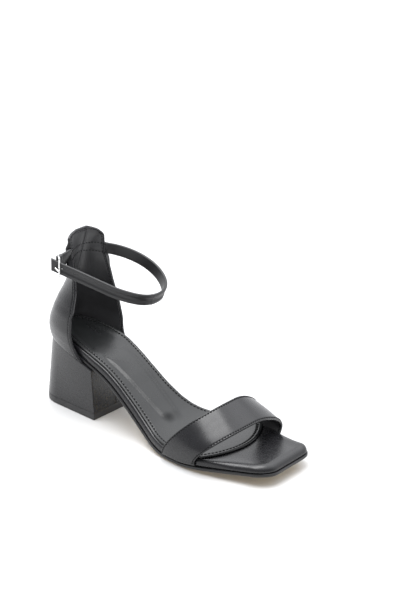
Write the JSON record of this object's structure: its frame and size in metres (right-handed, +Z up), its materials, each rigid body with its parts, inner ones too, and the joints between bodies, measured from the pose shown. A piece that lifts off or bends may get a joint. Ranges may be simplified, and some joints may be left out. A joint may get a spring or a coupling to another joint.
{
  "type": "block heel sandal",
  "caption": "Women's right-foot sandal with a block heel, square open toe, wide toe strap, closed heel counter and a buckled ankle strap.",
  "frame": {"origin": "middle of the heel tread's underside, on the floor", "axes": "+X from the heel to the toe, +Y to the inner (medial) side, +Z up"},
  "size_m": [0.2384, 0.087, 0.1494],
  "materials": {
    "leather": "smooth black, soft sheen",
    "lining": "smooth dark grey, satin",
    "tread_rubber": "matt black",
    "sole_sheet": "tan underside, black painted edge",
    "buckle_metal": "polished silver"
  },
  "bodies": {
    "root": {"outsole": "sole_sheet", "insole_board": "leather", "sock": "lining", "heel_block": "leather", "heel_tread": "tread_rubber", "counter": "leather", "toe_strap": "leather", "ankle_strap": "leather", "buckle_frame": "buckle_metal", "buckle_prong": "buckle_metal"}
  },
  "joints": []
}
